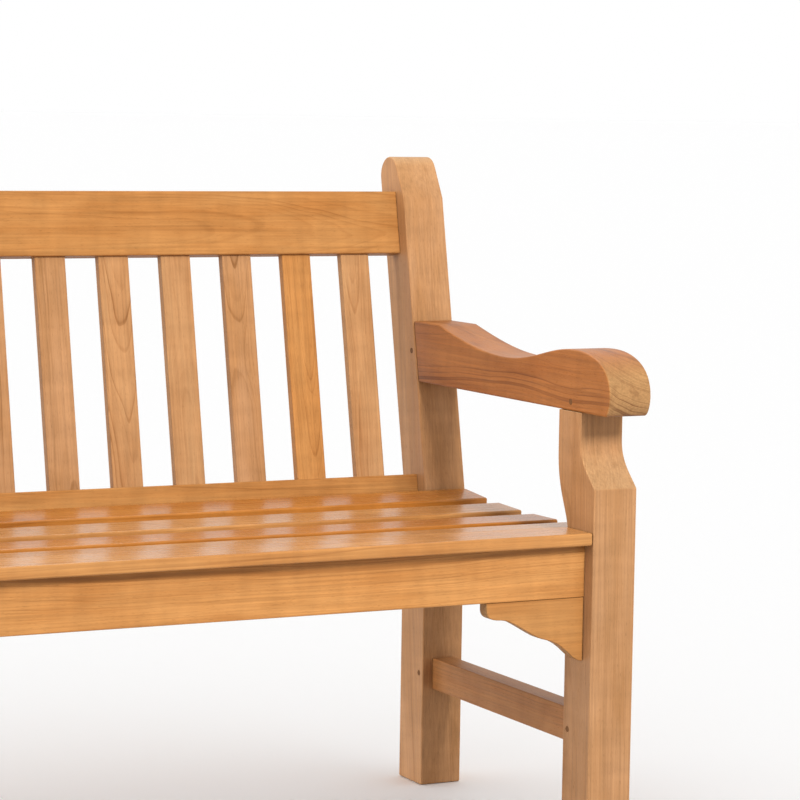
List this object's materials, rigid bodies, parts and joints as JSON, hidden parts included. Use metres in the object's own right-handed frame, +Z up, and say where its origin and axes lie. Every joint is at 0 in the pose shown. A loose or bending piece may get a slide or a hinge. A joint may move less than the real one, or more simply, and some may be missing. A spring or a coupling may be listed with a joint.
{
  "type": "garden bench",
  "caption": "Slatted hardwood garden bench with a raked slatted back, shaped arms, a dished seat, side stretchers and shaped corner brackets.",
  "frame": {"origin": "on the floor, at the middle of the bench's length and depth", "axes": "+X along the bench to the right as seen from the front, +Y from the front towards the back, +Z up"},
  "size_m": [1.5, 0.6734, 0.9168],
  "materials": {
    "leg_teak": "satin, sanded, oiled",
    "arm_teak": "satin, sanded, oiled",
    "rail_teak": "satin, sanded, oiled",
    "seat_slat_teak": "satin, sanded smooth",
    "back_slat_teak": "satin, sanded, oiled",
    "peg_wood": "end grain, darker than the boards"
  },
  "bodies": {
    "root": {"front_leg_left": "leg_teak", "front_leg_right": "leg_teak", "rear_post_left": "leg_teak", "rear_post_right": "leg_teak", "arm_left": "arm_teak", "arm_right": "arm_teak", "apron": "rail_teak", "rear_seat_rail": "rail_teak", "side_seat_rail_left": "rail_teak", "side_seat_rail_right": "rail_teak", "middle_bearer": "rail_teak", "top_back_rail": "rail_teak", "lower_back_rail": "rail_teak", "side_stretcher_left": "rail_teak", "side_stretcher_right": "rail_teak", "bracket_left": "rail_teak", "bracket_right": "rail_teak", "seat_slat_1": "seat_slat_teak", "seat_slat_2": "seat_slat_teak", "seat_slat_3": "seat_slat_teak", "seat_slat_4": "seat_slat_teak", "seat_slat_5": "seat_slat_teak", "back_slat_01": "back_slat_teak", "back_slat_02": "back_slat_teak", "back_slat_03": "back_slat_teak", "back_slat_04": "back_slat_teak", "back_slat_05": "back_slat_teak", "back_slat_06": "back_slat_teak", "back_slat_07": "back_slat_teak", "back_slat_08": "back_slat_teak", "back_slat_09": "back_slat_teak", "back_slat_10": "back_slat_teak", "back_slat_11": "back_slat_teak", "back_slat_12": "back_slat_teak", "back_slat_13": "back_slat_teak", "back_slat_14": "back_slat_teak", "peg_stretcher_front_left": "peg_wood", "peg_stretcher_front_right": "peg_wood", "peg_stretcher_rear_left": "peg_wood", "peg_stretcher_rear_right": "peg_wood", "peg_side_rail_front_left": "peg_wood", "peg_side_rail_front_right": "peg_wood", "peg_side_rail_rear_left": "peg_wood", "peg_side_rail_rear_right": "peg_wood", "peg_arm_rear_left": "peg_wood", "peg_arm_rear_right": "peg_wood", "peg_arm_front_left": "peg_wood", "peg_arm_front_right": "peg_wood", "peg_apron_left": "peg_wood", "peg_apron_right": "peg_wood", "peg_rear_seat_rail_left": "peg_wood", "peg_rear_seat_rail_right": "peg_wood", "peg_top_rail_left": "peg_wood", "peg_top_rail_right": "peg_wood", "peg_lower_rail_left": "peg_wood", "peg_lower_rail_right": "peg_wood"}
  },
  "joints": []
}
